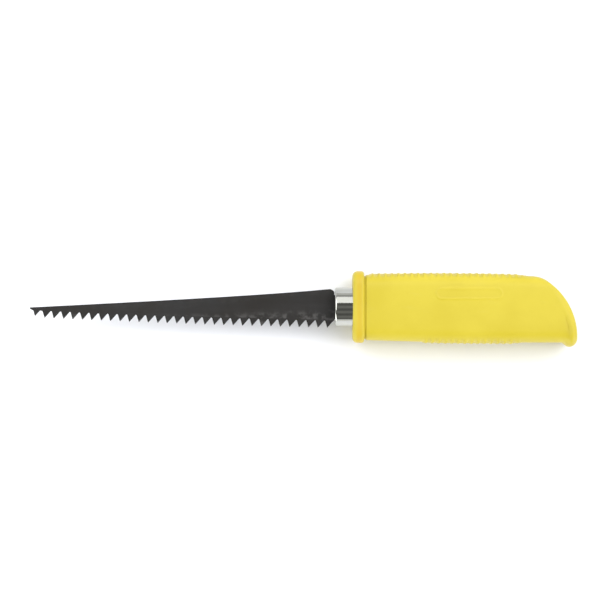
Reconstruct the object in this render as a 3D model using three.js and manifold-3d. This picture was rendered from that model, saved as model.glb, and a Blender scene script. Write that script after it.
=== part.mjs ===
// Drywall jab saw: a pointed push-cut blade whose tang is riveted into a round steel
// handle tube, with a moulded vinyl grip slipped over the tube.
// Units are millimetres. +X runs from the blade's point to the butt of the grip, +Y from the
// teeth to the spine, and +Z through the thickness, so the saw lies on its side on z = 0.
// Every shape below is drawn about the handle tube's axis, with x = 0 at the blade's heel and
// z = 0 in the blade's mid-plane. The last lines move the group so that the origin is the
// centre of the saw's footprint.

import * as THREE from "three";
import { mergeVertices } from "three/addons/utils/BufferGeometryUtils.js";
import Module from "manifold-3d";

const wasm = await Module();
wasm.setup();

// ---- Driving dimensions ----

// Blade
const BLADE_LENGTH = 164.2; // heel to point
const BLADE_THICKNESS = 1.2;
const HEEL_TOP = 9.7; // spine above the tube's axis at the heel
const HEEL_BOTTOM = -7.5;
const HEEL_CORNER = [2.4, 1.6]; // what is cut off the heel's top corner, along X and Y
const HEEL_CORNER_BULGE = 0.25; // 0 would leave the corner, and 0.5 cuts it straight
const HEEL_CHAMFER = 0.3;
const POINT_TOP = -0.2; // spine above the tube's axis at the point
const POINT_DEPTH = 0.7; // the blunt end of the point
const SPINE_SAG = 1.3; // how far the spine's control point lies under its chord
const SPINE_SAG_AT = 0.25; // that point's share of the way from the heel to the point
const TOOTH_PITCH = 5.08; // five teeth to 25.4 mm
const TOOTH_COUNT = 32;
const TOOTH_DEPTH = 3.6;
const FIRST_TOOTH_CUT = 0.8; // the tooth behind the point is this much shorter
const LAST_TOOTH = [-3.9, -11.1]; // the tooth tip nearest the heel
const TOOTH_LINE_SLOPE = 0.0351; // rise of the line of tips, per mm towards the point
const TOOTH_LINE_BOW = 0.6; // how far the middle of that line lies under its chord
const TOOTH_FRONT_ANGLE = 15; // degrees from square, on the side that cuts
const TOOTH_BACK_ANGLE = 41;
const TOOTH_TIP_FLAT = 0.3;
const TOOTH_SET = 0.3; // how far a tip is bent out of the blade's plane
const TOOTH_BEVEL = 0.5; // how much higher a tip is ground on its inner side
const TOOTH_ROOT = 0.7; // how far a tooth reaches up into the plate
const GULLET_RISE = 0.35;

// Tang
const TANG_LENGTH = 60;
const TANG_HEIGHT = 13;
const TANG_CORNER_RADIUS = 2;

// Handle tube
const TUBE_RADIUS = 10.5;
const TUBE_WALL = 1.2;
const TUBE_FRONT = 0.3;
const TUBE_END = 108;
const TUBE_EDGE_CHAMFER = 0.3;
const RIM_RADIUS = 1.0; // the rolled outer edge of the tube's mouth
const RIM_STEPS = 5;

// Tang packers and rivets
const PACKER_FRONT = 1.5;
const PACKER_END = 64;
const POCKETS = [[6, 16], [26, 33], [35, 42], [52, 61]]; // each from and to, along X
const POCKET_HEIGHT = 10;
const POCKET_DEPTH = 4;
const RIVET_RADIUS = 2;
const RIVET_XS = [21, 47];
const RIVET_CHAMFER = 0.4;
const RIVET_RECESS = 0.3; // how far its ends stay under the tube's surface
const FIT = 0.2; // clearance between pieces that touch on the real saw

// Grip
const GRIP_FRONT = 9.9;
const COLLAR_END = 15.9;
const COLLAR_HALF_HEIGHT = 19.3;
const COLLAR_HALF_WIDTH = 14.8;
const COLLAR_FRONT_RADIUS = 2.4;
const COLLAR_REAR_RADIUS = 1.5;
const CREASE_WIDTH = 1.1; // the groove behind the collar
const CREASE_DEPTH = 0.65;
const BODY_HALF_WIDTH = 13.5;
const BODY_TOP = 17.6; // the top edge's highest point
const BODY_TOP_X = 52;
const BODY_TOP_FALL = 0.00033; // times the square of the distance from that point
const BODY_BOTTOM = -19.1; // the bottom edge at its lowest, in front of the lip
const BODY_BOTTOM_X = 119;
const BODY_BOTTOM_RISE = 1.4; // how much higher the bottom edge is at the collar
const BODY_XS = [22, 30, 40, 50, 60, 72, 84, 96, 108, 122.8]; // cross-sections of the body
const SECTION_POWER = 4.5; // 2 is an ellipse, and more is squarer
const SECTION_SEGMENTS = 40;
const SIDE_CROWN = 0.4; // how much of the section's bulge the flat sides cut off
const BORE_CLEARANCE = 0.3;
const BORE_END = 108.6;

// Butt: an arc that slants back from the top edge, with a lip under it
const BUTT_CENTRE = [93.6, -16.2];
const BUTT_RADIUS = 36.7;
const BUTT_BLOCK_FRONT = 40; // the block that shapes the butt starts here
const BUTT_CROWN = 0.8; // how much the butt bulges between the two sides
const BUTT_EDGE_RADIUS = 3.2;
const LIP_BOTTOM = -21.5;
const LIP_RADIUS = 4.4; // the lip's lower rear corner
const LIP_XS = [123.6, 124.3, 125, 125.8];
const LIP_FLARE = 1.3; // how far the lip stands out from each side
const LIP_FLARE_FROM = 0.15; // shares of the lower half's height, from the middle down
const LIP_FLARE_TO = 0.6;

// Ribs across the grip's narrow edges
const RIB_PITCH = 3.5;
const RIB_CREST_HALF = 0.5;
const RIB_FOOT_HALF = 0.95;
const RIB_SPAN = { half: 12, endFall: 2.9 }; // endFall is how far its ends lie under the edge
const BED_SPAN = { half: 8, endFall: 0.6 }; // the raised bed between the ribs
const BED_SHARE = 0.6; // the bed's height as a share of the ribs' height
const STRIP_POWER = 5; // how late a rib or its bed turns down towards its ends
const STRIP_STEPS = 10; // facets across a rib or its bed
const STRIP_FOOT_DEPTH = 3;
const TOP_RIBS = { start: 20.45, count: 24, height: 0.8 };
const BOTTOM_RIBS = { start: 49.15, count: 15, height: 0.8 };
const FADING_RIBS = 2; // the last ribs, at the butt end, are lower

// Blank raised pad on both sides of the grip, with no lettering
const PAD_CENTRE = [71.8, 7.2];
const PAD_LENGTH = 36;
const PAD_HEIGHT = 6.6;
const PAD_PROUD = 0.4;
const PAD_XS = [52, 60, 72, 84, 92];

const WIDE = 2.5 * BUTT_BLOCK_FRONT; // wider than the grip, and reaches past the block's front
const ROUND_SEGMENTS = 48; // facets round the tube and the bore
const RIVET_SEGMENTS = 24;

// Colour, roughness and metalness
const FINISHES = {
  blade: [0x3b3936, 0.45, 0.6],
  tube: [0xd8dade, 0.12, 1.0],
  packer: [0x2a2a2c, 0.6, 0.0],
  rivet: [0xa8aaad, 0.35, 1.0],
  grip: [0xf0dd50, 0.55, 0.0],
};

const { clamp, degToRad, smoothstep } = THREE.MathUtils;
const QUARTER_TURN = Math.PI / 2;

// ---- Solids and booleans ----

function solidOf(geometry) {
  const bare = geometry.clone();
  bare.deleteAttribute("normal");
  bare.deleteAttribute("uv");
  const merged = mergeVertices(bare, 1e-4);
  return new wasm.Manifold(
    new wasm.Mesh({
      numProp: 3,
      vertProperties: merged.attributes.position.array,
      triVerts: new Uint32Array(merged.index.array),
    }),
  );
}

function geometryOf(solid) {
  const mesh = solid.getMesh();
  const geometry = new THREE.BufferGeometry();
  geometry.setAttribute("position", new THREE.BufferAttribute(mesh.vertProperties, 3));
  geometry.setIndex(new THREE.BufferAttribute(mesh.triVerts, 1));
  const faceted = geometry.toNonIndexed();
  faceted.computeVertexNormals();
  return faceted;
}

// A shape drawn in the XY plane, extruded through the thickness and centred on z = 0.
function plate(shape, thickness, curveSegments) {
  const geometry = new THREE.ExtrudeGeometry(shape, {
    depth: thickness,
    bevelEnabled: false,
    curveSegments,
  });
  return geometry.translate(0, 0, -thickness / 2);
}

// A profile of [radius, x] points turned about the X axis.
function turnedAboutX(profile, segments) {
  const points = profile.map(([radius, x]) => new THREE.Vector2(radius, x));
  return new THREE.LatheGeometry(points, segments).rotateZ(-QUARTER_TURN);
}

// A profile of [radius, z] points turned about a line along Z at x.
function turnedAboutZ(profile, segments, x) {
  const points = profile.map(([radius, z]) => new THREE.Vector2(radius, z));
  return new THREE.LatheGeometry(points, segments).rotateX(QUARTER_TURN).translate(x, 0, 0);
}

// A closed skin over rings of [x, y, z] points, with a flat cap on each end. Seen from the
// last ring, each ring runs clockwise.
function skin(rings) {
  const size = rings[0].length;
  const last = rings.length - 1;
  const positions = rings.flat(2);
  const indices = [];
  const at = (ring, point) => ring * size + (point % size);
  for (let ring = 0; ring < last; ring += 1) {
    for (let point = 0; point < size; point += 1) {
      indices.push(at(ring, point), at(ring + 1, point + 1), at(ring, point + 1));
      indices.push(at(ring, point), at(ring + 1, point), at(ring + 1, point + 1));
    }
  }
  for (const ring of [0, last]) {
    const centre = positions.length / 3;
    for (const axis of [0, 1, 2]) {
      positions.push(rings[ring].reduce((sum, point) => sum + point[axis], 0) / size);
    }
    for (let point = 0; point < size; point += 1) {
      const edge = [at(ring, point), at(ring, point + 1)];
      indices.push(centre, ...(ring === 0 ? edge : edge.reverse()));
    }
  }
  const geometry = new THREE.BufferGeometry();
  geometry.setAttribute("position", new THREE.Float32BufferAttribute(positions, 3));
  geometry.setIndex(indices);
  return solidOf(geometry);
}

function withRivetHoles(solid) {
  const radius = RIVET_RADIUS + FIT;
  const reach = 2 * TUBE_RADIUS;
  const profile = [[0, -reach], [radius, -reach], [radius, reach], [0, reach]];
  let drilled = solid;
  for (const x of RIVET_XS) {
    drilled = drilled.subtract(solidOf(turnedAboutZ(profile, RIVET_SEGMENTS, x)));
  }
  return drilled;
}

// ---- Blade ----

// The corners of one tooth, counted from the heel. Its front faces the blade's point.
function toothCorners(index) {
  const [lastX, lastY] = LAST_TOOTH;
  const x = lastX - index * TOOTH_PITCH;
  const share = index / (TOOTH_COUNT - 1);
  const bow = TOOTH_LINE_BOW * 4 * share * (1 - share);
  const rootY = lastY + TOOTH_DEPTH + TOOTH_LINE_SLOPE * (lastX - x) - bow;
  const depth = TOOTH_DEPTH - (index === TOOTH_COUNT - 1 ? FIRST_TOOTH_CUT : 0);
  return {
    tipFront: [x, rootY - depth],
    tipBack: [x + TOOTH_TIP_FLAT, rootY - depth],
    rootFront: [x - depth * Math.tan(degToRad(TOOTH_FRONT_ANGLE)), rootY],
    rootBack: [x + TOOTH_TIP_FLAT + depth * Math.tan(degToRad(TOOTH_BACK_ANGLE)), rootY],
  };
}

// The plate without its teeth: round gullets below, a tang behind the heel.
function bladeOutline() {
  const shape = new THREE.Shape();
  const halfTang = TANG_HEIGHT / 2;
  const cornerX = TANG_LENGTH - TANG_CORNER_RADIUS;
  const cornerY = halfTang - TANG_CORNER_RADIUS;
  shape.moveTo(-BLADE_LENGTH, POINT_TOP);
  shape.lineTo(-BLADE_LENGTH + POINT_DEPTH / 3, POINT_TOP - POINT_DEPTH);
  for (let index = TOOTH_COUNT - 1; index >= 0; index -= 1) {
    const { rootFront, rootBack } = toothCorners(index);
    shape.lineTo(...rootFront);
    shape.lineTo(...rootBack);
    if (index > 0) {
      const next = toothCorners(index - 1).rootFront;
      shape.quadraticCurveTo((rootBack[0] + next[0]) / 2, next[1] + GULLET_RISE, ...next);
    }
  }
  shape.lineTo(-HEEL_CHAMFER, HEEL_BOTTOM);
  shape.lineTo(0, HEEL_BOTTOM + HEEL_CHAMFER);
  shape.lineTo(0, -halfTang);
  shape.absarc(cornerX, -cornerY, TANG_CORNER_RADIUS, -QUARTER_TURN, 0, false);
  shape.absarc(cornerX, cornerY, TANG_CORNER_RADIUS, 0, QUARTER_TURN, false);
  shape.lineTo(0, halfTang);
  const [cutX, cutY] = HEEL_CORNER;
  const bulgeX = -HEEL_CORNER_BULGE * cutX;
  const bulgeY = HEEL_TOP - HEEL_CORNER_BULGE * cutY;
  shape.lineTo(0, HEEL_TOP - cutY);
  shape.quadraticCurveTo(bulgeX, bulgeY, -cutX, HEEL_TOP);
  const sagX = -SPINE_SAG_AT * BLADE_LENGTH;
  const sagY = HEEL_TOP + SPINE_SAG_AT * (POINT_TOP - HEEL_TOP) - SPINE_SAG;
  shape.quadraticCurveTo(sagX, sagY, -BLADE_LENGTH, POINT_TOP);
  return shape;
}

// A tooth bent to one side and ground to a bevel, so its tip is lowest on its outer side.
function toothSolid(index) {
  const { tipFront, tipBack, rootFront, rootBack } = toothCorners(index);
  const shape = new THREE.Shape();
  shape.moveTo(...rootFront);
  shape.lineTo(...tipFront);
  shape.lineTo(...tipBack);
  shape.lineTo(...rootBack);
  shape.lineTo(rootBack[0], rootBack[1] + TOOTH_ROOT);
  shape.lineTo(rootFront[0], rootFront[1] + TOOTH_ROOT);
  const geometry = plate(shape, BLADE_THICKNESS, 1);
  const outer = index % 2 ? 1 : -1;
  const corners = geometry.attributes.position;
  for (let corner = 0; corner < corners.count; corner += 1) {
    const isTip = corners.getY(corner) < rootFront[1] - TOOTH_BEVEL;
    if (isTip && corners.getZ(corner) * outer < 0) {
      corners.setY(corner, corners.getY(corner) + TOOTH_BEVEL);
    }
    if (isTip) corners.setZ(corner, corners.getZ(corner) + outer * TOOTH_SET);
  }
  return solidOf(geometry);
}

function blade() {
  let solid = solidOf(plate(bladeOutline(), BLADE_THICKNESS, 6));
  for (let index = 0; index < TOOTH_COUNT; index += 1) {
    solid = solid.add(toothSolid(index));
  }
  return withRivetHoles(solid);
}

// ---- Handle tube, tang packers and rivets ----

function handleTube() {
  const inner = TUBE_RADIUS - TUBE_WALL;
  const profile = [[inner, TUBE_FRONT + TUBE_EDGE_CHAMFER]];
  for (let step = 0; step <= RIM_STEPS; step += 1) {
    const angle = (step / RIM_STEPS) * QUARTER_TURN;
    profile.push([
      TUBE_RADIUS - RIM_RADIUS * (1 - Math.sin(angle)),
      TUBE_FRONT + RIM_RADIUS * (1 - Math.cos(angle)),
    ]);
  }
  profile.push([TUBE_RADIUS, TUBE_END - TUBE_EDGE_CHAMFER]);
  profile.push([TUBE_RADIUS - TUBE_EDGE_CHAMFER, TUBE_END]);
  profile.push([inner, TUBE_END]);
  profile.push([...profile[0]]);
  return withRivetHoles(solidOf(turnedAboutX(profile, ROUND_SEGMENTS)));
}

// Half of a moulded plug that holds the tang in the middle of the tube. side is 1 on the
// left, towards +Z, and -1 on the right.
function tangPacker(side) {
  const radius = TUBE_RADIUS - TUBE_WALL - FIT;
  const flat = BLADE_THICKNESS / 2 + FIT;
  const turn = Math.acos(flat / radius);
  const shape = new THREE.Shape();
  shape.absarc(0, 0, radius, -turn, turn, false);
  shape.closePath();
  const block = new THREE.ExtrudeGeometry(shape, {
    depth: PACKER_END - PACKER_FRONT,
    bevelEnabled: false,
    curveSegments: 20,
  });
  block.rotateY(QUARTER_TURN).translate(PACKER_FRONT, 0, 0);
  if (side > 0) block.rotateX(Math.PI);
  let solid = solidOf(block);
  for (const [from, to] of POCKETS) {
    const pocket = new THREE.BoxGeometry(to - from, POCKET_HEIGHT, 2 * POCKET_DEPTH);
    pocket.translate((from + to) / 2, 0, side * flat);
    solid = solid.subtract(solidOf(pocket));
  }
  return withRivetHoles(solid);
}

function rivet(x) {
  const half = TUBE_RADIUS - RIVET_RECESS;
  const profile = [
    [0, -half],
    [RIVET_RADIUS - RIVET_CHAMFER, -half],
    [RIVET_RADIUS, -half + RIVET_CHAMFER],
    [RIVET_RADIUS, half - RIVET_CHAMFER],
    [RIVET_RADIUS - RIVET_CHAMFER, half],
    [0, half],
  ];
  return solidOf(turnedAboutZ(profile, RIVET_SEGMENTS, x));
}

// ---- Grip ----

function bodyTop(x) {
  return BODY_TOP - BODY_TOP_FALL * (x - BODY_TOP_X) ** 2;
}

function bodyBottom(x) {
  const toCollar = Math.max(0, (BODY_BOTTOM_X - x) / (BODY_BOTTOM_X - COLLAR_END));
  const lip = smoothstep(x, BODY_XS.at(-1), LIP_XS.at(-1));
  return BODY_BOTTOM + BODY_BOTTOM_RISE * toCollar ** 3 + (LIP_BOTTOM - BODY_BOTTOM) * lip;
}

// A cross-section is a squared oval whose sides are cut flat. Its lower half can flare out.
function crossSection(x, top, bottom, halfWidth, flare = 0) {
  const ring = [];
  for (let step = 0; step < SECTION_SEGMENTS; step += 1) {
    const angle = (4 * QUARTER_TURN * (step + 0.5)) / SECTION_SEGMENTS;
    const squared = (value) => Math.sign(value) * Math.abs(value) ** (2 / SECTION_POWER);
    const height = squared(Math.sin(angle));
    const width = halfWidth + flare * smoothstep(-height, LIP_FLARE_FROM, LIP_FLARE_TO);
    const z = clamp((width + SIDE_CROWN) * squared(Math.cos(angle)), -width, width);
    ring.push([x, (top + bottom) / 2 + (height * (top - bottom)) / 2, z]);
  }
  return ring;
}

function bodySection(x, widen = 0, flare = 0) {
  const half = BODY_HALF_WIDTH + widen;
  return crossSection(x, bodyTop(x) + widen, bodyBottom(x) - widen, half, flare);
}

// The collar's outside, with its front and rear edges rounded.
function collarSections() {
  const rings = [];
  const steps = 4;
  const add = (x, inset) => {
    const half = COLLAR_HALF_HEIGHT - inset;
    rings.push(crossSection(x, half, -half, COLLAR_HALF_WIDTH - inset));
  };
  for (let step = 0; step <= steps; step += 1) {
    const angle = (step / steps) * QUARTER_TURN;
    add(
      GRIP_FRONT + COLLAR_FRONT_RADIUS * (1 - Math.cos(angle)),
      COLLAR_FRONT_RADIUS * (1 - Math.sin(angle)),
    );
  }
  for (let step = 0; step <= steps; step += 1) {
    const angle = (step / steps) * QUARTER_TURN;
    add(
      COLLAR_END - COLLAR_REAR_RADIUS * (1 - Math.sin(angle)),
      COLLAR_REAR_RADIUS * (1 - Math.cos(angle)),
    );
  }
  return rings;
}

// A block whose rear is the butt, from the arc down round the lip's corner. Its edges are
// rounded where it reaches its half width. Cutting the body with it shapes the butt.
function buttBlock(halfWidth) {
  const arcSteps = 20;
  const cornerSteps = 6;
  const edgeSteps = 5;
  const [centreX, centreY] = BUTT_CENTRE;
  const outline = (z) => {
    const pastEdge = Math.max(0, Math.abs(z) - (halfWidth - BUTT_EDGE_RADIUS));
    const rounding = BUTT_EDGE_RADIUS - Math.sqrt(BUTT_EDGE_RADIUS ** 2 - pastEdge ** 2);
    const inset = rounding + BUTT_CROWN * (z / halfWidth) ** 2;
    const radius = BUTT_RADIUS - inset;
    const corner = LIP_RADIUS - inset;
    const ring = [[BUTT_BLOCK_FRONT, centreY + BUTT_RADIUS, z]];
    for (let step = 0; step <= arcSteps; step += 1) {
      const angle = QUARTER_TURN * (1 - step / arcSteps);
      ring.push([centreX + radius * Math.cos(angle), centreY + radius * Math.sin(angle), z]);
    }
    for (let step = 0; step <= cornerSteps; step += 1) {
      const angle = -QUARTER_TURN * (step / cornerSteps);
      ring.push([
        centreX + BUTT_RADIUS - LIP_RADIUS + corner * Math.cos(angle),
        LIP_BOTTOM + LIP_RADIUS + corner * Math.sin(angle),
        z,
      ]);
    }
    ring.push([BODY_BOTTOM_X, LIP_BOTTOM - LIP_RADIUS, z]);
    ring.push([BUTT_BLOCK_FRONT, LIP_BOTTOM - LIP_RADIUS, z]);
    return ring;
  };
  const edgeStart = halfWidth - BUTT_EDGE_RADIUS;
  const heights = [edgeStart / 2];
  for (let step = 0; step <= edgeSteps; step += 1) {
    heights.push(edgeStart + BUTT_EDGE_RADIUS * Math.sin((step / edgeSteps) * QUARTER_TURN));
  }
  const below = heights.map((z) => -z).reverse();
  return skin([...below, 0, ...heights].map(outline));
}

// The lip stands out from both sides and from the bottom edge, behind its curved front.
function lipSolid() {
  const [centreX] = BUTT_CENTRE;
  const start = BODY_XS.at(-1);
  const end = LIP_XS.at(-1);
  const rings = [start, ...LIP_XS, centreX + BUTT_RADIUS + LIP_RADIUS].map((x) =>
    bodySection(x, 0, LIP_FLARE * smoothstep(x, start, end)),
  );
  return skin(rings).intersect(buttBlock(BODY_HALF_WIDTH + LIP_FLARE));
}

// A strip across one of the grip's narrow edges, through stations of [x, rise over the edge].
function edgeStrip(stations, { half, endFall }, atTop) {
  const outwards = atTop ? 1 : -1;
  const ring = ([x, rise]) => {
    const edge = atTop ? bodyTop(x) : bodyBottom(x);
    const foot = edge - outwards * STRIP_FOOT_DEPTH;
    const points = [];
    for (let step = 0; step <= STRIP_STEPS; step += 1) {
      const z = half * outwards * (1 - (2 * step) / STRIP_STEPS);
      const fall = (rise + endFall) * (Math.abs(z) / half) ** STRIP_POWER;
      points.push([x, edge + outwards * (rise - fall), z]);
    }
    points.push([x, foot, -half * outwards]);
    points.push([x, foot, half * outwards]);
    return points;
  };
  return skin(stations.map(ring));
}

// The ribs along one narrow edge, and the bed that fills the middle of the gaps between them.
function ribSolids({ start, count, height }, atTop) {
  const made = [];
  const bed = [];
  for (let index = 0; index < count; index += 1) {
    const x = start + index * RIB_PITCH;
    const rise = height * Math.min(1, (count - index) / FADING_RIBS);
    const stations = [
      [x - RIB_FOOT_HALF, 0],
      [x - RIB_CREST_HALF, rise],
      [x + RIB_CREST_HALF, rise],
      [x + RIB_FOOT_HALF, 0],
    ];
    made.push(edgeStrip(stations, RIB_SPAN, atTop));
    bed.push([x, BED_SHARE * rise]);
  }
  return [edgeStrip(bed, BED_SPAN, atTop), ...made];
}

// A round-ended pad that follows the surface, the same on both sides.
function padSolid() {
  const radius = PAD_HEIGHT / 2;
  const straight = PAD_LENGTH / 2 - radius;
  const shape = new THREE.Shape();
  shape.absarc(straight, 0, radius, -QUARTER_TURN, QUARTER_TURN, false);
  shape.absarc(-straight, 0, radius, QUARTER_TURN, 3 * QUARTER_TURN, false);
  shape.closePath();
  const outline = plate(shape, 4 * BODY_HALF_WIDTH, 8);
  outline.translate(...PAD_CENTRE, 0);
  return skin(PAD_XS.map((x) => bodySection(x, PAD_PROUD))).intersect(solidOf(outline));
}

function grip() {
  const [centreX] = BUTT_CENTRE;
  const outside = [
    ...collarSections(),
    bodySection(COLLAR_END + CREASE_WIDTH / 2, -CREASE_DEPTH),
    bodySection(COLLAR_END + CREASE_WIDTH),
    ...[...BODY_XS, ...LIP_XS, centreX + BUTT_RADIUS + LIP_RADIUS].map((x) => bodySection(x)),
  ];
  const inFront = new THREE.BoxGeometry(WIDE, WIDE, WIDE);
  const keep = buttBlock(BODY_HALF_WIDTH).add(solidOf(inFront));
  let solid = skin(outside).intersect(keep).add(lipSolid());
  for (const rib of ribSolids(TOP_RIBS, true)) solid = solid.add(rib);
  for (const rib of ribSolids(BOTTOM_RIBS, false)) solid = solid.add(rib);
  solid = solid.add(padSolid());
  const radius = TUBE_RADIUS + BORE_CLEARANCE;
  const bore = [[0, 0], [radius, 0], [radius, BORE_END], [0, BORE_END]];
  return solid.subtract(solidOf(turnedAboutX(bore, ROUND_SEGMENTS)));
}

// ---- Assembly ----

function named(name, solid, finish) {
  const [color, roughness, metalness] = FINISHES[finish];
  const material = new THREE.MeshStandardMaterial({ color, roughness, metalness });
  const mesh = new THREE.Mesh(geometryOf(solid), material);
  mesh.name = name;
  return mesh;
}

const saw = new THREE.Group();
saw.add(named("blade", blade(), "blade"));
saw.add(named("handle_tube", handleTube(), "tube"));
saw.add(named("tang_packer_left", tangPacker(1), "packer"));
saw.add(named("tang_packer_right", tangPacker(-1), "packer"));
saw.add(named("rivet_front", rivet(RIVET_XS[0]), "rivet"));
saw.add(named("rivet_rear", rivet(RIVET_XS[1]), "rivet"));
saw.add(named("grip", grip(), "grip"));

// The origin goes to the centre of the footprint, on the surface that the saw lies on.
const box = new THREE.Box3().setFromObject(saw);
const centre = box.getCenter(new THREE.Vector3());
saw.position.set(-centre.x, -centre.y, -box.min.z);

const part = new THREE.Group();
part.add(saw);

export default part;
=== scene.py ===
"""Looks of a drywall jab saw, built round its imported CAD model.

The saw is drawn in millimetres about the handle tube's axis, with x = 0 at the blade's heel,
x growing towards the butt, y towards the spine and z = 0 in the blade's mid-plane. placed()
turns that into the frame's metres.
"""

import math

import bmesh
import bpy
import numpy as np
from mathutils import Matrix, Vector


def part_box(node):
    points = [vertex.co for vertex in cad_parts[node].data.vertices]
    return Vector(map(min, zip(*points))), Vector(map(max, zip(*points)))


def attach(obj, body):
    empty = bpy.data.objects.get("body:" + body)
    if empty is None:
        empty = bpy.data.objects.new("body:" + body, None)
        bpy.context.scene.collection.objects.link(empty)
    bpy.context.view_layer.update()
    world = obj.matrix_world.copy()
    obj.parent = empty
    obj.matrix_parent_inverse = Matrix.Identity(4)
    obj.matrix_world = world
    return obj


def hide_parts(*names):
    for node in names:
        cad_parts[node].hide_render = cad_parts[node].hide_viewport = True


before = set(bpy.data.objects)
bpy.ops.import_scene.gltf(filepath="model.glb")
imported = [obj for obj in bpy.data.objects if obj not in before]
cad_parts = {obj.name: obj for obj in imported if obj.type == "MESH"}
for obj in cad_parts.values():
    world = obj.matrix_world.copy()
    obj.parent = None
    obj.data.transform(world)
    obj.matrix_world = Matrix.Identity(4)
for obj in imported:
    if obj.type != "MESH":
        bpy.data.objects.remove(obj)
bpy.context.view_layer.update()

MM = 0.001
TUBE_FRONT = 0.3
tube_low, tube_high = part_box("handle_tube")
tube_middle = (tube_low + tube_high) / 2
HEEL = Vector((tube_low.x - TUBE_FRONT * MM, tube_middle.y, tube_middle.z))


def placed(points):
    """Points in the saw's millimetres, as an array in the frame's metres."""
    return np.asarray(points, float) * MM + np.array(HEEL)


def smoothstep(value, low, high):
    share = np.clip((value - low) / (high - low), 0, 1)
    return share * share * (3 - 2 * share)


# ---- Mesh helpers ----


def new_object(name, vertices, faces, smooth=True):
    mesh = bpy.data.meshes.new(name)
    mesh.from_pydata([tuple(v) for v in vertices], [], faces)
    work = bmesh.new()
    work.from_mesh(mesh)
    bmesh.ops.recalc_face_normals(work, faces=work.faces)
    work.to_mesh(mesh)
    work.free()
    mesh.shade_smooth() if smooth else mesh.shade_flat()
    made = bpy.data.objects.new(name, mesh)
    bpy.context.scene.collection.objects.link(made)
    return made


def ring_faces(first, second, size):
    """Quads between two rings of vertices, given the index that each ring starts at."""
    return [
        (first + k, first + (k + 1) % size, second + (k + 1) % size, second + k) for k in range(size)
    ]


def lathe(name, profile, segments):
    """A closed profile of (radius, x) points, turned about the tube's axis."""
    vertices = []
    for k in range(segments):
        angle = 2 * math.pi * k / segments
        vertices += [(x, r * math.sin(angle), r * math.cos(angle)) for r, x in profile]
    size = len(profile)
    faces = []
    for k in range(segments):
        faces += ring_faces(k * size, (k + 1) % segments * size, size)
    return new_object(name, placed(vertices), faces)


def drilled(piece, xs, radius, reach):
    """Cuts round holes through the piece along z at each x, and keeps the result as its mesh."""
    for x in xs:
        drill = bmesh.new()
        centre = Matrix.Translation(HEEL + Vector((x * MM, 0, 0)))
        bmesh.ops.create_cone(
            drill, cap_ends=True, segments=48, depth=2 * reach * MM,
            radius1=radius * MM, radius2=radius * MM, matrix=centre,
        )
        mesh = bpy.data.meshes.new("drill")
        drill.to_mesh(mesh)
        drill.free()
        cutter = bpy.data.objects.new("drill", mesh)
        bpy.context.scene.collection.objects.link(cutter)
        cut = piece.modifiers.new("hole", "BOOLEAN")
        cut.operation = "DIFFERENCE"
        cut.solver = "EXACT"
        cut.object = cutter
        bpy.context.view_layer.update()
        shaped = piece.evaluated_get(bpy.context.evaluated_depsgraph_get())
        result = bpy.data.meshes.new_from_object(shaped)
        piece.modifiers.clear()
        piece.data = result
        bpy.data.objects.remove(cutter)
    return piece


def soften(piece, width, segments=2, angle=28):
    """Small round edges, and shading that keeps the flat faces flat."""
    bevel = piece.modifiers.new("edges", "BEVEL")
    bevel.width = width * MM
    bevel.segments = segments
    bevel.limit_method = "ANGLE"
    bevel.angle_limit = math.radians(angle)
    bevel.harden_normals = True
    return piece


def refined_copy(node, name):
    """A new piece from a CAD node's mesh, with its triangles joined into flat faces."""
    work = bmesh.new()
    work.from_mesh(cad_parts[node].data)
    bmesh.ops.remove_doubles(work, verts=work.verts, dist=0.002 * MM)
    bmesh.ops.dissolve_limit(
        work, angle_limit=math.radians(1), verts=work.verts, edges=work.edges
    )
    bmesh.ops.recalc_face_normals(work, faces=work.faces)
    mesh = bpy.data.meshes.new(name)
    work.to_mesh(mesh)
    work.free()
    mesh.shade_smooth()
    made = bpy.data.objects.new(name, mesh)
    bpy.context.scene.collection.objects.link(made)
    return made


def finished(piece, node, material):
    """Gives the piece its material, puts it under the root body and hides the CAD node that it stands
    for.
    """
    piece.data.materials.clear()
    piece.data.materials.append(material)
    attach(piece, "root")
    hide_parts(node)
    return piece


# ---- Materials ----


class NodeTree:
    """The nodes of a material or a world, with short ways to add the common ones."""

    def __init__(self, tree):
        self.nodes = tree.nodes
        self.links = tree.links

    def put(self, socket, value):
        if isinstance(value, bpy.types.NodeSocket):
            self.links.new(value, socket)
        elif isinstance(value, tuple) and len(value) == 3 and socket.type == "RGBA":
            socket.default_value = (*value, 1)
        else:
            socket.default_value = value

    def ramp(self, value, low, high, start=0.0, end=1.0):
        made = self.nodes.new("ShaderNodeMapRange")
        made.interpolation_type = "SMOOTHSTEP"
        self.put(made.inputs["Value"], value)
        for name, number in zip(("From Min", "From Max", "To Min", "To Max"), (low, high, start, end)):
            made.inputs[name].default_value = number
        return made.outputs["Result"]

    def maths(self, operation, first, second=0.0):
        made = self.nodes.new("ShaderNodeMath")
        made.operation = operation
        self.put(made.inputs[0], first)
        self.put(made.inputs[1], second)
        return made.outputs[0]

    def mix(self, share, first, second):
        made = self.nodes.new("ShaderNodeMix")
        made.data_type = "RGBA"
        self.put(made.inputs["Factor"], share)
        self.put(made.inputs[6], first)
        self.put(made.inputs[7], second)
        return made.outputs[2]


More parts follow.
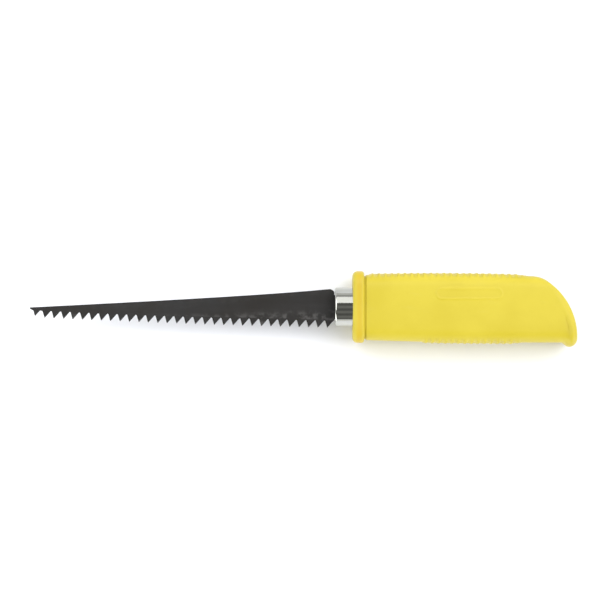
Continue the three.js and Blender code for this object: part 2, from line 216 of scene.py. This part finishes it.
class Shader(NodeTree):
    """A material with a Principled shader, built node by node."""

    def __init__(self, name):
        self.material = bpy.data.materials.new(name)
        self.material.use_nodes = True
        super().__init__(self.material.node_tree)
        self.principled = self.nodes["Principled BSDF"]
        self.place = self.nodes.new("ShaderNodeTexCoord").outputs["Object"]

    def set(self, **values):
        for name, value in values.items():
            self.put(self.principled.inputs[name.replace("_", " ")], value)

    def split(self):
        made = self.nodes.new("ShaderNodeSeparateXYZ")
        self.put(made.inputs[0], self.place)
        return made

    def stretched(self, scale):
        mapping = self.nodes.new("ShaderNodeMapping")
        self.links.new(self.place, mapping.inputs["Vector"])
        mapping.inputs["Scale"].default_value = scale
        return mapping.outputs["Vector"]

    def noise(self, scale, detail=3, roughness=0.5, vector=None):
        made = self.nodes.new("ShaderNodeTexNoise")
        self.put(made.inputs["Vector"], vector or self.place)
        made.inputs["Scale"].default_value = scale
        made.inputs["Detail"].default_value = detail
        made.inputs["Roughness"].default_value = roughness
        return made.outputs["Fac"]

    def cells(self, scale):
        made = self.nodes.new("ShaderNodeTexVoronoi")
        self.put(made.inputs["Vector"], self.place)
        made.inputs["Scale"].default_value = scale
        return made.outputs["Distance"]

    def edges(self, low, high):
        """0 on flat surfaces and 1 on edges that stand out."""
        geometry = self.nodes.new("ShaderNodeNewGeometry")
        return self.ramp(geometry.outputs["Pointiness"], low, high)

    def bump(self, height, distance, strength=1.0, under=None):
        made = self.nodes.new("ShaderNodeBump")
        self.put(made.inputs["Height"], height)
        made.inputs["Distance"].default_value = distance
        made.inputs["Strength"].default_value = strength
        if under:
            self.put(made.inputs["Normal"], under)
        return made.outputs["Normal"]


def vinyl_material():
    vinyl = Shader("soft_yellow_vinyl")
    clouds = vinyl.noise(35, detail=4)
    mottle = vinyl.noise(420, detail=3)
    colour = vinyl.mix(vinyl.ramp(clouds, 0.35, 0.65), (0.483, 0.392, 0.0245), (0.516, 0.424, 0.031))
    colour = vinyl.mix(vinyl.ramp(mottle, 0.55, 0.8, 0, 0.25), colour, (0.457, 0.364, 0.024))
    scuffs = vinyl.noise(90, detail=6, vector=vinyl.stretched((0.4, 1.6, 1)))
    scuffed = vinyl.ramp(scuffs, 0.6, 0.75, 0, 0.3)
    colour = vinyl.mix(scuffed, colour, (0.50, 0.416, 0.059))
    # painted shade: hollows and creases, where pointiness is low, are darkened to stand in for the shade
    # that falls in them
    painted_hollow_shade = vinyl.maths("SUBTRACT", 1.0, vinyl.edges(0.42, 0.495))
    colour = vinyl.mix(vinyl.maths("MULTIPLY", painted_hollow_shade, 0.4), colour, (0.40, 0.30, 0.012))
    # painted reflected light and shade: an orange band across the rounded collar, strongest at its
    # middle
    along = vinyl.split().outputs["X"]
    start, most, end = (HEEL.x + x * MM for x in COLLAR_LIGHT_BAND_XS)
    rising = vinyl.ramp(along, start, most)
    falling = vinyl.ramp(along, most, end, COLLAR_LIGHT_BAND, 0)
    colour = vinyl.mix(vinyl.maths("MULTIPLY", falling, rising), colour, (0.505, 0.345, 0.021))
    # painted shade: edges that stand out, the rib crests among them, are darkened as if turned away from
    # the light
    painted_edge_shade = vinyl.edges(0.53, 0.62)
    colour = vinyl.mix(vinyl.maths("MULTIPLY", painted_edge_shade, 0.4), colour, (0.38, 0.33, 0.03))
    vinyl.set(Base_Color=colour, Roughness=vinyl.ramp(clouds, 0.3, 0.7, 0.42, 0.54))
    grain = vinyl.bump(vinyl.cells(1900), 0.00003, 0.25)
    waves = vinyl.bump(vinyl.noise(160, detail=2), 0.00012, 0.25, grain)
    vinyl.set(Normal=waves)
    vinyl.principled.inputs["Specular IOR Level"].default_value = 0.35
    return vinyl.material


def chrome_material():
    chrome = Shader("chrome_plate")
    haze = chrome.noise(120, detail=5)
    drawn = chrome.noise(60, detail=4, vector=chrome.stretched((60, 1, 1)))
    rough = chrome.ramp(haze, 0.3, 0.75, 0.05, 0.13)
    scratched = chrome.ramp(drawn, 0.62, 0.8, 0, 0.12)
    chrome.set(
        Base_Color=chrome.mix(chrome.ramp(haze, 0.4, 0.7), (0.503, 0.506, 0.466), (0.47, 0.472, 0.436)),
        Metallic=1.0,
        Roughness=chrome.maths("ADD", rough, scratched),
        Normal=chrome.bump(drawn, 0.00001, 0.15),
    )
    return chrome.material


def blade_material():
    steel = Shader("black_blade_steel")
    rolled = steel.noise(45, detail=6, vector=steel.stretched((0.6, 22, 22)))
    patches = steel.noise(38, detail=4)
    colour = steel.mix(steel.ramp(patches, 0.3, 0.7), (0.0135, 0.0119, 0.0104), (0.0167, 0.0162, 0.0162))
    streaks = steel.ramp(rolled, 0.52, 0.75, 0, 0.3)
    colour = steel.mix(streaks, colour, (0.0245, 0.023, 0.0217))
    worn = steel.maths("MULTIPLY", steel.edges(0.53, 0.62), steel.ramp(steel.noise(300), 0.4, 0.65))
    colour = steel.mix(steel.maths("MULTIPLY", worn, 0.3), colour, (0.24, 0.235, 0.23))
    steel.set(
        Base_Color=colour,
        Metallic=steel.maths("MULTIPLY", worn, 0.8),
        Roughness=steel.ramp(rolled, 0.3, 0.7, 0.38, 0.52),
        Normal=steel.bump(rolled, 0.00002, 0.35, steel.bump(steel.noise(1500), 0.00001, 0.3)),
    )
    steel.principled.inputs["Specular IOR Level"].default_value = 0.25
    return steel.material


def packer_material():
    plastic = Shader("black_moulded_plastic")
    clouds = plastic.noise(150, detail=4)
    plastic.set(
        Base_Color=plastic.mix(clouds, (0.018, 0.018, 0.02), (0.032, 0.032, 0.034)),
        Roughness=plastic.ramp(clouds, 0.3, 0.7, 0.5, 0.65),
        Normal=plastic.bump(plastic.noise(2500), 0.00002, 0.3),
    )
    return plastic.material


def rivet_material():
    steel = Shader("plain_rivet_steel")
    turned = steel.noise(900, detail=4)
    steel.set(
        Base_Color=steel.mix(turned, (0.34, 0.34, 0.35), (0.5, 0.5, 0.51)),
        Metallic=1.0,
        Roughness=steel.ramp(turned, 0.3, 0.7, 0.28, 0.42),
        Normal=steel.bump(turned, 0.00001, 0.3),
    )
    return steel.material


# ---- Blade ----

BLADE_LENGTH = 164.2
BLADE_HALF = 0.6  # half of its thickness
HEEL_TOP = 9.7
HEEL_BOTTOM = -7.5
HEEL_CORNER = (2.4, 1.6)  # what is cut off the heel's top corner, along x and y
HEEL_CORNER_BULGE = 0.25
HEEL_CHAMFER = 0.3
POINT_TOP = -0.2
POINT_DEPTH = 0.7
SPINE_SAG = 1.3
SPINE_SAG_AT = 0.25  # share of the way from the heel to the point
TOOTH_PITCH = 5.08
TOOTH_COUNT = 32
TOOTH_DEPTH = 3.6
FIRST_TOOTH_CUT = 0.8
LAST_TOOTH = (-3.9, -11.1)
TOOTH_LINE_SLOPE = 0.0351
TOOTH_LINE_BOW = 0.6
TOOTH_FRONT_LEAN = math.tan(math.radians(15))
TOOTH_BACK_LEAN = math.tan(math.radians(41))
TOOTH_TIP_FLAT = 0.3
TOOTH_SET = 0.3
TOOTH_BEVEL = 0.5
GULLET_RISE = 0.35
TANG_LENGTH = 60
TANG_HALF = 6.5
TANG_RADIUS = 2
RIVET_XS = (21, 47)
RIVET_HOLE = 2.2


def curve(start, control, end, steps):
    """Points of a quadratic curve after its start, up to its end."""
    shares = [(k + 1) / steps for k in range(steps)]
    return [
        tuple((1 - t) ** 2 * a + 2 * t * (1 - t) * b + t * t * c for a, b, c in zip(start, control, end))
        for t in shares
    ]


def quarter(centre, radius, start_degrees, steps):
    angles = [math.radians(start_degrees + 90 * k / steps) for k in range(steps + 1)]
    return [(centre[0] + radius * math.cos(a), centre[1] + radius * math.sin(a)) for a in angles]


def tooth(index):
    """Root front, tip front, tip back and root back of a tooth, counted from the heel."""
    last_x, last_y = LAST_TOOTH
    x = last_x - index * TOOTH_PITCH
    share = index / (TOOTH_COUNT - 1)
    bow = TOOTH_LINE_BOW * 4 * share * (1 - share)
    root = last_y + TOOTH_DEPTH + TOOTH_LINE_SLOPE * (last_x - x) - bow
    depth = TOOTH_DEPTH - (FIRST_TOOTH_CUT if index == TOOTH_COUNT - 1 else 0)
    return (
        (x - depth * TOOTH_FRONT_LEAN, root),
        (x, root - depth),
        (x + TOOTH_TIP_FLAT, root - depth),
        (x + TOOTH_TIP_FLAT + depth * TOOTH_BACK_LEAN, root),
    )


def blade():
    """The plate's two flat faces, the bent and ground teeth, and the walls between them."""
    outline = [(-BLADE_LENGTH, POINT_TOP), (-BLADE_LENGTH + POINT_DEPTH / 3, POINT_TOP - POINT_DEPTH)]
    tooth_at = {}
    for index in reversed(range(TOOTH_COUNT)):
        root_front, _, _, root_back = tooth(index)
        tooth_at[len(outline)] = index
        outline += [root_front, root_back]
        if index:
            end = tooth(index - 1)[0]
            control = ((root_back[0] + end[0]) / 2, end[1] + GULLET_RISE)
            outline += curve(root_back, control, end, 5)[:-1]
    outline += [(-HEEL_CHAMFER, HEEL_BOTTOM), (0, HEEL_BOTTOM + HEEL_CHAMFER), (0, -TANG_HALF)]
    end_x = TANG_LENGTH - TANG_RADIUS
    end_y = TANG_HALF - TANG_RADIUS
    outline += quarter((end_x, -end_y), TANG_RADIUS, -90, 5)
    outline += quarter((end_x, end_y), TANG_RADIUS, 0, 5)
    cut_x, cut_y = HEEL_CORNER
    bulge = (-HEEL_CORNER_BULGE * cut_x, HEEL_TOP - HEEL_CORNER_BULGE * cut_y)
    outline += [(0, TANG_HALF), (0, HEEL_TOP - cut_y)]
    outline += curve(outline[-1], bulge, (-cut_x, HEEL_TOP), 5)
    sag = (-SPINE_SAG_AT * BLADE_LENGTH, HEEL_TOP + SPINE_SAG_AT * (POINT_TOP - HEEL_TOP) - SPINE_SAG)
    outline += curve(outline[-1], sag, outline[0], 24)[:-1]

    size = len(outline)
    vertices = [(x, y, BLADE_HALF) for x, y in outline] + [(x, y, -BLADE_HALF) for x, y in outline]
    faces = [tuple(range(size)), tuple(reversed(range(size, 2 * size)))]
    for start in range(size):
        end = (start + 1) % size
        if start not in tooth_at:
            faces.append((start, start + size, end + size, end))
            continue
        index = tooth_at[start]
        _, tip_front, tip_back, _ = tooth(index)
        bend = TOOTH_SET if index % 2 else -TOOTH_SET
        tips = len(vertices)
        for side in (1, -1):
            ground = TOOTH_BEVEL if side * bend < 0 else 0
            for x, y in (tip_front, tip_back):
                vertices.append((x, y + ground, side * BLADE_HALF + bend))
        top = (tips, tips + 1)
        bottom = (tips + 2, tips + 3)
        faces.append((start, top[0], top[1], end))
        faces.append((start + size, end + size, bottom[1], bottom[0]))
        faces.append((start, start + size, bottom[0], top[0]))
        faces.append((top[0], bottom[0], bottom[1], top[1]))
        faces.append((top[1], bottom[1], end + size, end))
    made = new_object("saw_blade", placed(vertices), faces)
    return soften(drilled(made, RIVET_XS, RIVET_HOLE, 5), 0.07)


# ---- Handle tube ----

TUBE_RADIUS = 10.5
TUBE_INNER = 9.3
TUBE_END = 108
RIM_RADIUS = 1.0
RIM_STEPS = 10
MOUTH_RADIUS = 0.2


def handle_tube():
    """The tube with a rolled mouth. Its visible length has no facets crossing it."""
    profile = [(TUBE_INNER, TUBE_FRONT + MOUTH_RADIUS)]
    for k in range(RIM_STEPS + 1):
        angle = math.pi / 2 * k / RIM_STEPS
        radius = TUBE_RADIUS - RIM_RADIUS * (1 - math.sin(angle))
        profile.append((radius, TUBE_FRONT + RIM_RADIUS * (1 - math.cos(angle))))
    profile += [(TUBE_RADIUS, x) for x in (4, 8, 12, 16, 27, 40, 54, TUBE_END - 0.4)]
    profile += [(TUBE_RADIUS - 0.12, TUBE_END - 0.12), (TUBE_RADIUS - 0.4, TUBE_END)]
    profile += [(TUBE_INNER, x) for x in (TUBE_END, 54, 40, 27, 16, 8, 3)]
    made = lathe("chrome_handle_tube", profile, 144)
    drilled(made, RIVET_XS, RIVET_HOLE, 20)
    made.data.shade_smooth()
    made.data.set_sharp_from_angle(angle=math.radians(40))
    return made


# ---- Grip ----

GRIP_FRONT = 9.9
COLLAR_END = 15.9
COLLAR_HALF_HEIGHT = 19.3
COLLAR_HALF_WIDTH = 14.8
COLLAR_FRONT_RADIUS = 2.4
COLLAR_REAR_RADIUS = 1.5
COLLAR_FILLET = 0.25
COLLAR_LIGHT_BAND_XS = (10.2, 13.2, 16.2)  # a painted orange band of reflected light and shade on the collar starts, is strongest and ends here
COLLAR_LIGHT_BAND = 0.7
CREASE_X = 16.4
CREASE_HALF = 0.75
CREASE_DEPTH = 0.65
BODY_START = 13  # under the collar
BODY_HALF_WIDTH = 13.5
BODY_TOP = 17.6
BODY_TOP_X = 52
BODY_TOP_FALL = 0.00033
BODY_BOTTOM = -19.1
BODY_BOTTOM_X = 119
BODY_BOTTOM_RISE = 1.4
SECTION_POWER = 4.5  # 2 is an ellipse, and more is squarer
SIDE_CROWN = 0.4
SIDE_BLEND = 0.4  # how softly the flat sides turn into the round edges
BUTT_CENTRE = (93.6, -16.2)
BUTT_RADIUS = 36.7
BUTT_CROWN = 0.8
BUTT_EDGE_RADIUS = 1.4  # at the top edge
BUTT_EDGE_GAIN = 1.8  # how much larger it is down the butt
LIP_EDGE_GAIN = 1.2  # and how much larger again round the lip
LIP_START = 122.8
LIP_END = 125.8
LIP_BOTTOM = -21.5
LIP_FLARE = 1.3
LIP_WIDTH = 4.4
LIP_SLOPE = 0.7  # half the length over which the lip rises from the side
LIP_GROOVE = 0.35  # depth of the crease in front of the lip
RIB_PITCH = 3.5
RIB_CREST_HALF = 0.4
RIB_FOOT_HALF = 1.05
FADING_RIBS = 2  # the last ribs, at the butt end, are lower
TOP_RIBS = (20.45, 24, 0.8)  # the first rib's x, the number of ribs and their height
BOTTOM_RIBS = (49.15, 15, 0.8)
RIB_ENDS = (9.4, 11.8)  # a rib dies out between these distances from the mid-plane
BED_ENDS = (3, 8)  # and so does the raised bed between the ribs
BED_SHARE = 0.6  # the bed's height as a share of the ribs' height
PAD_CENTRE = (71.8, 7.2)
PAD_LENGTH = 36
PAD_HEIGHT = 6.6
PAD_PROUD = 0.4
PAD_RIM = 0.9
PAD_FIELD = 0.6  # how much lower the field inside the rim is, as a share of PAD_PROUD
BORE_RADIUS = 10.56
BORE_END = 108.6
MOUTH_ROUND = 0.7
AROUND = 288  # points round the grip, a multiple of 8
SPACING = RIB_PITCH / 10
CAP_X = 121.5  # behind here the surface is found by a fan of rays
CAP_Y = -9
SINK_START = 96  # from here to CAP_X the rays' start sinks to CAP_Y
RAY_LENGTH = 45.0
HALVINGS = 34  # of a ray's length, to find where it comes out


def body_top(x):
    return BODY_TOP - BODY_TOP_FALL * (x - BODY_TOP_X) ** 2


def body_bottom(x):
    to_collar = np.clip((BODY_BOTTOM_X - x) / (BODY_BOTTOM_X - COLLAR_END), 0, None)
    lip = smoothstep(x, LIP_START, LIP_END)
    return BODY_BOTTOM + BODY_BOTTOM_RISE * to_collar**3 + (LIP_BOTTOM - BODY_BOTTOM) * lip


def oval(y, z, top, bottom, half_width):
    """Roughly the distance outside a squared oval, and negative inside it."""
    half = (top - bottom) / 2
    up = np.abs(y - (top + bottom) / 2) / half
    out = np.abs(z) / half_width
    reach = (up**SECTION_POWER + out**SECTION_POWER) ** (1 / SECTION_POWER)
    steep = SECTION_POWER - 1
    slope = np.hypot(up**steep / half, out**steep / half_width) / np.maximum(reach, 1e-6) ** steep
    return (reach - 1) / np.maximum(slope, 0.02)


def rounded_cut(first, second, radius):
    """What is inside both forms, with an edge of that radius where they meet."""
    a = first + radius
    b = second + radius
    return np.minimum(np.maximum(a, b), 0) + np.hypot(np.maximum(a, 0), np.maximum(b, 0)) - radius


def joined(first, second, blend):
    """What is inside either form, with a small fillet where they meet."""
    share = np.clip(0.5 + 0.5 * (second - first) / blend, 0, 1)
    return second * (1 - share) + first * share - blend * share * (1 - share)


def rib_height(x, y, z):
    height = 0
    bed = BED_SHARE * (1 - smoothstep(np.abs(z), *BED_ENDS))
    for (start, count, rise), facing in ((TOP_RIBS, y > 0), (BOTTOM_RIBS, y < 0)):
        place = (x - start) / RIB_PITCH
        number = np.round(place)
        from_crest = np.abs(place - number) * RIB_PITCH
        profile = 1 - smoothstep(from_crest, RIB_CREST_HALF, RIB_FOOT_HALF)
        left = np.clip((count - number) / FADING_RIBS, 0, 1)
        raised = rise * left * np.maximum(profile, bed)
        height = height + np.where(facing & (number >= 0), raised, 0)
    return height * (1 - smoothstep(np.abs(z), *RIB_ENDS))


def pad_height(x, y, z):
    """A blank raised pad with a plain rim, on both sides."""
    radius = PAD_HEIGHT / 2
    along = np.maximum(np.abs(x - PAD_CENTRE[0]) - (PAD_LENGTH / 2 - radius), 0)
    outside = np.hypot(along, y - PAD_CENTRE[1]) - radius
    rim = 1 - smoothstep(outside, -0.3, 0.1)
    field = smoothstep(-outside, PAD_RIM, PAD_RIM + 0.4)
    return PAD_PROUD * (rim - PAD_FIELD * field) * (np.abs(z) > 6)


def butt_distance(x, y):
    """How far behind the butt's arc, or behind the upright below it, a point lies."""
    arc = np.hypot(np.maximum(x - BUTT_CENTRE[0], 0), y - BUTT_CENTRE[1]) - BUTT_RADIUS
    return np.where(y > BUTT_CENTRE[1], arc, x - BUTT_CENTRE[0] - BUTT_RADIUS)


def grip_distance(x, y, z):
    """Roughly the distance outside the grip, and negative inside it."""
    butt = butt_distance(x, y)
    low = smoothstep(-y, 1, 10)
    flare = low * smoothstep(butt, -LIP_WIDTH - LIP_SLOPE, -LIP_WIDTH + LIP_SLOPE)
    groove = low * (1 - smoothstep(np.abs(butt + LIP_WIDTH + LIP_SLOPE), 0.1, 0.8))
    half_width = BODY_HALF_WIDTH + LIP_FLARE * flare
    side = oval(y, z, body_top(x), body_bottom(x), half_width + SIDE_CROWN)
    side = rounded_cut(side, np.abs(z) - half_width, SIDE_BLEND)
    crease = 1 - smoothstep(np.abs(x - CREASE_X), 0.1, CREASE_HALF)
    side = side + CREASE_DEPTH * crease + LIP_GROOVE * groove
    side = side - rib_height(x, y, z) - pad_height(x, y, z)
    edge_radius = BUTT_EDGE_RADIUS + BUTT_EDGE_GAIN * smoothstep(-y, -12, -4)
    edge_radius = edge_radius + LIP_EDGE_GAIN * smoothstep(-y, 12, 18)
    body = rounded_cut(side, butt + BUTT_CROWN * (z / BODY_HALF_WIDTH) ** 2, edge_radius)
    body = np.maximum(body, BODY_START - x)

    collar_side = oval(y, z, COLLAR_HALF_HEIGHT, -COLLAR_HALF_HEIGHT, COLLAR_HALF_WIDTH + SIDE_CROWN)
    collar_side = rounded_cut(collar_side, np.abs(z) - COLLAR_HALF_WIDTH, SIDE_BLEND)
    middle = (GRIP_FRONT + COLLAR_END) / 2
    radius = np.where(x < middle, COLLAR_FRONT_RADIUS, COLLAR_REAR_RADIUS)
    collar = rounded_cut(collar_side, np.abs(x - middle) - (COLLAR_END - GRIP_FRONT) / 2, radius)
    return joined(body, collar, COLLAR_FILLET)


def surface_points(starts, directions):
    """Where rays from inside the grip come out of it."""
    near = np.zeros(len(starts))
    far = np.full(len(starts), RAY_LENGTH)
    for _ in range(HALVINGS):
        middle = (near + far) / 2
        inside = grip_distance(*(starts + directions * middle[:, None]).T) < 0
        near = np.where(inside, middle, near)
        far = np.where(inside, far, middle)
    return starts + directions * ((near + far) / 2)[:, None]


def ring_directions(angles):
    return np.stack([np.zeros_like(angles), np.sin(angles), np.cos(angles)], 1)


def cap_angles(cells):
    """For each corner of a square grid, its angle round the X axis and its share of the way
    out from the middle. The grid's border falls on evenly spaced angles."""
    steps = np.linspace(-1, 1, cells + 1)
    a, b = (grid.ravel() for grid in np.meshgrid(steps, steps, indexing="ij"))
    wide = np.abs(a) >= np.abs(b)
    main = np.where(wide, a, b)
    other = np.where(wide, b, a)
    lean = np.divide(other, main, out=np.zeros_like(main), where=main != 0) * math.pi / 4
    angle = np.where(wide, lean, math.pi / 2 - lean) + np.where(main < 0, math.pi, 0)
    return angle, np.abs(main)


def grip():
    angles = 2 * math.pi * np.arange(AROUND) / AROUND
    front_round = COLLAR_FRONT_RADIUS * (1 - np.cos(np.linspace(0.06, math.pi / 2, 9)))
    first_rib = TOP_RIBS[0]
    first = first_rib - SPACING * math.floor((first_rib - GRIP_FRONT - COLLAR_FRONT_RADIUS) / SPACING)
    even = np.arange(first, CAP_X, SPACING)[1:]
    close = [x + SPACING * k / 3 for x in even if abs(x - CREASE_X) < 2 * CREASE_HALF for k in (1, 2)]
    xs = [*(GRIP_FRONT + front_round), *sorted([*even, *close]), CAP_X]

    starts = []
    for x in xs:
        sink = CAP_Y * smoothstep(x, SINK_START, CAP_X)
        starts.append(np.tile([x, sink, 0], (AROUND, 1)))
    outer = surface_points(np.concatenate(starts), np.tile(ring_directions(angles), (len(xs), 1)))
    rings = list(outer.reshape(len(xs), AROUND, 3))

    mouth = BORE_RADIUS + MOUTH_ROUND
    circle = ring_directions(angles)
    face_edge = rings[0] * [0, 1, 1] + [GRIP_FRONT, 0, 0]
    inner = []
    for share in (1, 0.8, 0.6, 0.4, 0.2):
        flat = circle * mouth + [GRIP_FRONT, 0, 0]
        inner.append(face_edge * share + flat * (1 - share))
    for k in range(6):
        turn = math.pi / 2 * k / 5
        radius = mouth - MOUTH_ROUND * math.sin(turn)
        inner.append(circle * radius + [GRIP_FRONT + MOUTH_ROUND * (1 - math.cos(turn)), 0, 0])
    for x in (14, 24, 44, 64, 84, BORE_END - 0.5, BORE_END):
        inner.append(circle * BORE_RADIUS + [x, 0, 0])
    inner.append(circle * BORE_RADIUS / 2 + [BORE_END, 0, 0])
    rings = inner[::-1] + rings

    faces = [tuple(range(AROUND))]
    for k in range(len(rings) - 1):
        faces += ring_faces(k * AROUND, (k + 1) * AROUND, AROUND)
    vertices = np.concatenate(rings)

    cells = AROUND // 4
    turn, share = cap_angles(cells)
    border = share > 1 - 1e-9
    polar = share * math.pi / 2
    rays = ring_directions(turn) * np.sin(polar)[:, None] + np.outer(np.cos(polar), [1, 0, 0])
    cap = surface_points(np.tile([CAP_X, CAP_Y, 0.0], ((~border).sum(), 1)), rays[~border])
    number = np.zeros(len(turn), int)
    number[~border] = len(vertices) + np.arange(len(cap))
    last_ring = len(vertices) - AROUND
    number[border] = last_ring + np.round(turn[border] / (2 * math.pi) * AROUND).astype(int) % AROUND
    number = number.reshape(cells + 1, cells + 1).tolist()
    for a in range(cells):
        for b in range(cells):
            faces.append((number[a][b], number[a + 1][b], number[a + 1][b + 1], number[a][b + 1]))
    made = new_object("vinyl_grip", placed(np.concatenate([vertices, cap])), faces)
    return made


# ---- The saw ----

finished(blade(), "blade", blade_material())
finished(handle_tube(), "handle_tube", chrome_material())
finished(grip(), "grip", vinyl_material())
packer_finish = packer_material()
rivet_finish = rivet_material()
for side in ("left", "right"):
    packer = refined_copy(f"tang_packer_{side}", f"moulded_packer_{side}")
    finished(soften(packer, 0.15), f"tang_packer_{side}", packer_finish)
for end in ("front", "rear"):
    pin = refined_copy(f"rivet_{end}", f"cross_rivet_{end}")
    finished(soften(pin, 0.1), f"rivet_{end}", rivet_finish)


# ---- Stage, light and camera ----

FLOOR_REACH = 6.0
FLOOR_FADE = (-0.01, 0.05)
FLOOR_BEHIND = (0.68, 0.69, 0.72)
FRONT_WALL = (1.17, 1.17, 1.16)  # how bright the wall is on the teeth's side
BACK_WALL = (0.85, 0.85, 0.84)  # and on the spine's side, near the horizon
BACK_WALL_TOP = (0.5, 0.5, 0.5)
CEILING = (0.128, 0.128, 0.122)
CEILING_BEAM = (0.235, 0.235, 0.225)
BEAM_STEP = 30  # degrees between the beams, which run along the saw


def stage_floor():
    """A pale, very slightly clouded sheet under the saw, a little greyer behind the spine."""
    corners = [(-1, -1), (1, -1), (1, 1), (-1, 1)]
    vertices = [(x * FLOOR_REACH, y * FLOOR_REACH, 0.0) for x, y in corners]
    floor = new_object("studio_floor", vertices, [(0, 1, 2, 3)])
    paint = Shader("pale_floor")
    cloud = paint.noise(3, detail=2)
    pale = paint.mix(cloud, (0.87, 0.885, 0.925), (0.88, 0.895, 0.935))
    behind = paint.ramp(paint.split().outputs["Y"], *FLOOR_FADE)
    paint.set(Base_Color=paint.mix(behind, pale, FLOOR_BEHIND), Roughness=0.9)
    floor.data.materials.append(paint.material)
    return floor


def area_light(name, azimuth, elevation, distance, size, power):
    """A soft panel that faces the saw from an azimuth and an elevation in degrees."""
    data = bpy.data.lights.new(name, "AREA")
    data.shape = "RECTANGLE"
    data.size, data.size_y = size
    data.energy = power
    light = bpy.data.objects.new(name, data)
    bpy.context.scene.collection.objects.link(light)
    turn = math.radians(azimuth)
    rise = math.radians(elevation)
    back = Vector((math.sin(turn) * math.cos(rise), -math.cos(turn) * math.cos(rise), math.sin(rise)))
    light.location = back * distance
    light.rotation_euler = (-back).to_track_quat("-Z", "Y").to_euler()
    light.visible_camera = False
    return light


def studio_air():
    """Pale walls round the horizon, under a dark ceiling with slightly paler beams."""
    world = bpy.data.worlds.new("studio_air")
    world.use_nodes = True
    air = NodeTree(world.node_tree)
    direction = air.nodes.new("ShaderNodeSeparateXYZ")
    air.put(direction.inputs[0], air.nodes.new("ShaderNodeTexCoord").outputs["Generated"])
    _, to_spine, up = direction.outputs

    def above(low, high):
        return air.ramp(up, math.sin(math.radians(low)), math.sin(math.radians(high)))

    lean = air.maths("ARCTAN2", to_spine, up)
    wave = air.maths("COSINE", air.maths("MULTIPLY", lean, 360 / BEAM_STEP))
    ceiling = air.mix(air.ramp(wave, -1, 1), CEILING, CEILING_BEAM)
    front = air.mix(above(5, 17), FRONT_WALL, ceiling)
    back = air.mix(above(9, 18), BACK_WALL, BACK_WALL_TOP)
    back = air.mix(above(58, 70), back, ceiling)
    colour = air.mix(air.ramp(to_spine, -0.1, 0.1), front, back)
    air.put(air.nodes["Background"].inputs["Color"], colour)
    return world


def studio():
    stage_floor()
    area_light("softbox", 180, 47, 1.15, (1.9, 0.78), 5.2)
    area_light("left_panel", 250, 50, 1.5, (1.6, 1.5), 18)
    area_light("right_panel", 110, 50, 1.5, (1.6, 1.5), 22)
    area_light("low_left", 320, 8, 1.3, (1.2, 0.3), 8.5)
    area_light("low_right", 40, 8, 1.3, (1.2, 0.3), 8.5)
    bpy.context.scene.world = studio_air()
    bpy.context.scene.view_settings.view_transform = "Standard"


PICTURE_WIDTH = 0.3299  # what the picture spans at the height of the blade
CAMERA_LENS = 130
SENSOR_WIDTH = 36
AIM = Vector((-15.23, 0.55, 0)) * MM  # from the heel


def camera():
    data = bpy.data.cameras.new("overhead")
    data.lens = CAMERA_LENS
    data.sensor_width = SENSOR_WIDTH
    made = bpy.data.objects.new("overhead", data)
    bpy.context.scene.collection.objects.link(made)
    distance = PICTURE_WIDTH * CAMERA_LENS / SENSOR_WIDTH
    made.location = HEEL + AIM + Vector((0, 0, distance))
    bpy.context.scene.camera = made


studio()
camera()
